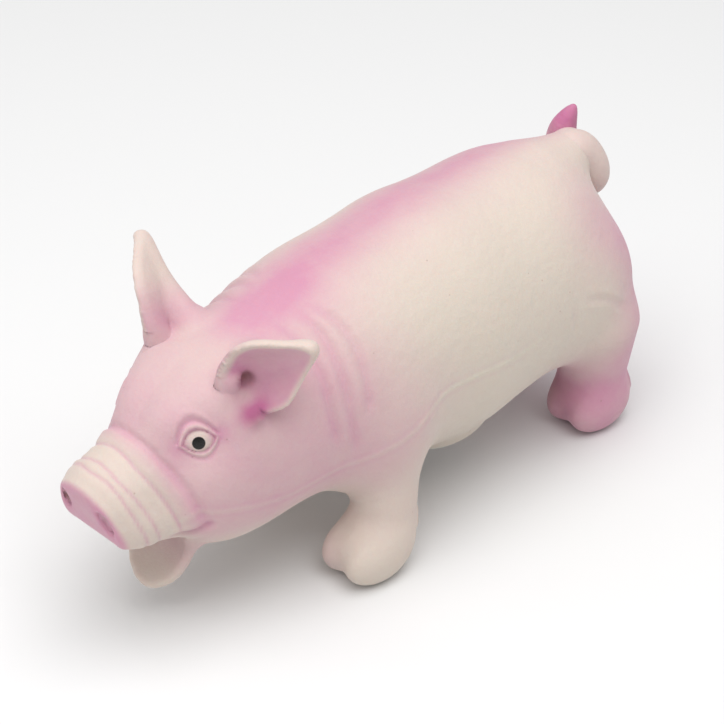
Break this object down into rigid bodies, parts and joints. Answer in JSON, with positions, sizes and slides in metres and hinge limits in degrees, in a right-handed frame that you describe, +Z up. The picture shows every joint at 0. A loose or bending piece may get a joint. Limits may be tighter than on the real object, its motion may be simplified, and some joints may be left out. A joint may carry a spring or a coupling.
{
  "type": "latex pig dog toy",
  "caption": "Stuffed latex pig with squeezable flanks, bending legs, ears, jaw and curled tail, and a reed grunter in the belly.",
  "frame": {"origin": "on the floor under the middle of the pig's overall length, midway between its two sides", "axes": "+X towards the snout, +Y towards the pig's left side, +Z up"},
  "size_m": [0.2266, 0.0882, 0.1061],
  "materials": {
    "cream_latex": "matte",
    "pink_latex": "matte",
    "ear_latex": "matte",
    "fibre": "matte",
    "case_plastic": "satin",
    "reed_brass": "satin"
  },
  "bodies": {
    "body": {"torso_skin": "cream_latex", "head_skin": "cream_latex", "torso_stuffing": "fibre", "head_stuffing": "fibre", "grunter_case": "case_plastic", "grunter_grille": "case_plastic", "reed_block": "case_plastic", "reed_wedge": "case_plastic"},
    "flank_left": {"left_flank": "cream_latex"},
    "flank_right": {"right_flank": "cream_latex"},
    "leg_front_left": {"front_left_leg": "cream_latex", "front_left_leg_stuffing": "fibre"},
    "leg_front_right": {"front_right_leg": "cream_latex", "front_right_leg_stuffing": "fibre"},
    "leg_hind_left": {"hind_left_leg": "cream_latex", "hind_left_leg_stuffing": "fibre"},
    "leg_hind_right": {"hind_right_leg": "cream_latex", "hind_right_leg_stuffing": "fibre"},
    "ear_left": {"left_ear": "ear_latex"},
    "ear_right": {"right_ear": "ear_latex"},
    "jaw": {"lower_jaw": "pink_latex"},
    "tail_curl": {"tail": "pink_latex"},
    "reed": {"reed_tongue": "reed_brass"}
  },
  "joints": [
    {"name": "squeeze_left", "type": "slide", "parent": "body", "child": "flank_left", "axis": [0, -1, 0], "range_m": [0, 0.008], "stiffness_N_per_m": 400, "deforming": ["torso_stuffing"]},
    {"name": "squeeze_right", "type": "slide", "parent": "body", "child": "flank_right", "axis": [0, 1, 0], "range_m": [0, 0.008], "stiffness_N_per_m": 400, "deforming": ["torso_stuffing"]},
    {"name": "front_left_leg_bend", "type": "hinge", "parent": "body", "child": "leg_front_left", "pos_m": [0.00952, 0.03013, 0.042], "axis": [0, 1, 0], "range_deg": [-8, 8], "stiffness_Nm_per_rad": 1.5},
    {"name": "front_right_leg_bend", "type": "hinge", "parent": "body", "child": "leg_front_right", "pos_m": [0.00952, -0.03013, 0.042], "axis": [0, 1, 0], "range_deg": [-8, 8], "stiffness_Nm_per_rad": 1.5},
    {"name": "hind_left_leg_bend", "type": "hinge", "parent": "body", "child": "leg_hind_left", "pos_m": [-0.08648, 0.02582, 0.042], "axis": [0, 1, 0], "range_deg": [-8, 8], "stiffness_Nm_per_rad": 1.5},
    {"name": "hind_right_leg_bend", "type": "hinge", "parent": "body", "child": "leg_hind_right", "pos_m": [-0.08648, -0.02582, 0.042], "axis": [0, 1, 0], "range_deg": [-8, 8], "stiffness_Nm_per_rad": 1.5},
    {"name": "left_ear_fold", "type": "hinge", "parent": "body", "child": "ear_left", "pos_m": [0.06352, 0.01578, 0.08153], "axis": [0.5413, -0.4542, 0.7076], "range_deg": [-20, 20], "stiffness_Nm_per_rad": 0.02},
    {"name": "right_ear_fold", "type": "hinge", "parent": "body", "child": "ear_right", "pos_m": [0.06352, -0.01578, 0.08153], "axis": [-0.5413, -0.4542, -0.7076], "range_deg": [-20, 20], "stiffness_Nm_per_rad": 0.02},
    {"name": "jaw_flap", "type": "hinge", "parent": "body", "child": "jaw", "pos_m": [0.07352, 0, 0.03608], "axis": [0, 1, 0], "range_deg": [-8, 8], "stiffness_Nm_per_rad": 0.05},
    {"name": "tail_sway", "type": "hinge", "parent": "body", "child": "tail_curl", "pos_m": [-0.09548, 0, 0.092], "axis": [0, 0, 1], "range_deg": [-8, 8], "stiffness_Nm_per_rad": 0.05},
    {"name": "reed_flex", "type": "hinge", "parent": "body", "child": "reed", "pos_m": [-0.03048, 0, 0.03771], "axis": [0, -1, 0], "range_deg": [0, 3.5], "stiffness_Nm_per_rad": 0.002}
  ],
  "couplings": [
    {"joint": "squeeze_right", "follows": "squeeze_left", "ratio": 1}
  ]
}
